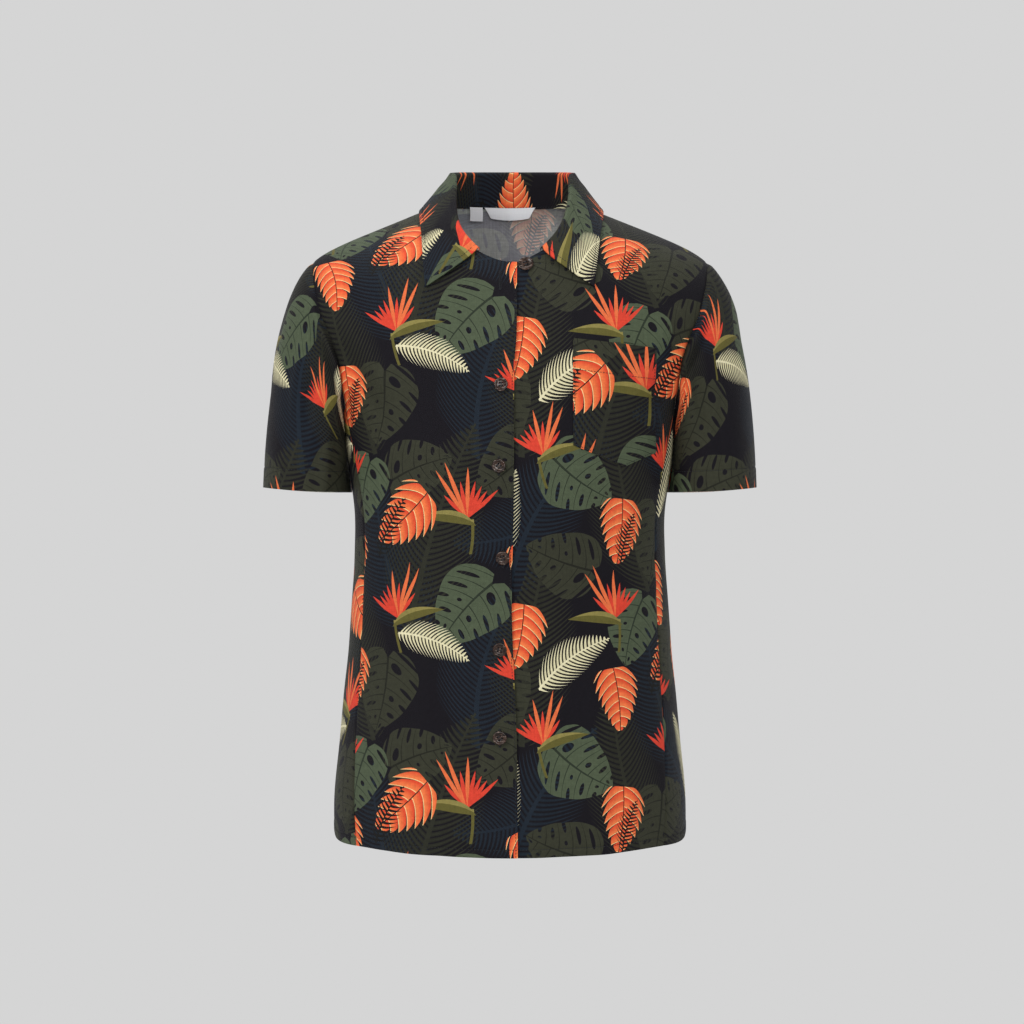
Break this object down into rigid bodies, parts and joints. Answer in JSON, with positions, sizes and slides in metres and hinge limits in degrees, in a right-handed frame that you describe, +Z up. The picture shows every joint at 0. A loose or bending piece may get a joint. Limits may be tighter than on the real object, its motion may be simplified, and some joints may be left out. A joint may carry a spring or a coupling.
{
  "type": "short-sleeved shirt",
  "caption": "Short-sleeved button-through shirt with a one-piece open collar and a patch pocket, hollow and filled out in its worn form.",
  "frame": {"origin": "on the centre plane, level with and midway between the two points where the shoulder seams meet the collar, where the wearer's shoulders hold the shirt", "axes": "+Z up, the front faces -Y, +X towards the wearer's left"},
  "size_m": [0.483, 0.2437, 0.6698],
  "materials": {
    "cloth": "matt plain weave, printed",
    "label": "smooth woven tape",
    "button": "polished, mottled horn look"
  },
  "bodies": {
    "root": {"back": "cloth", "front_right": "cloth", "front_left": "cloth", "sleeve_right": "cloth", "sleeve_left": "cloth", "collar": "cloth", "pocket": "cloth", "neck_label": "label", "size_label": "label", "button_1": "button", "button_2": "button", "button_3": "button", "button_4": "button", "button_5": "button", "button_6": "button"}
  },
  "joints": []
}
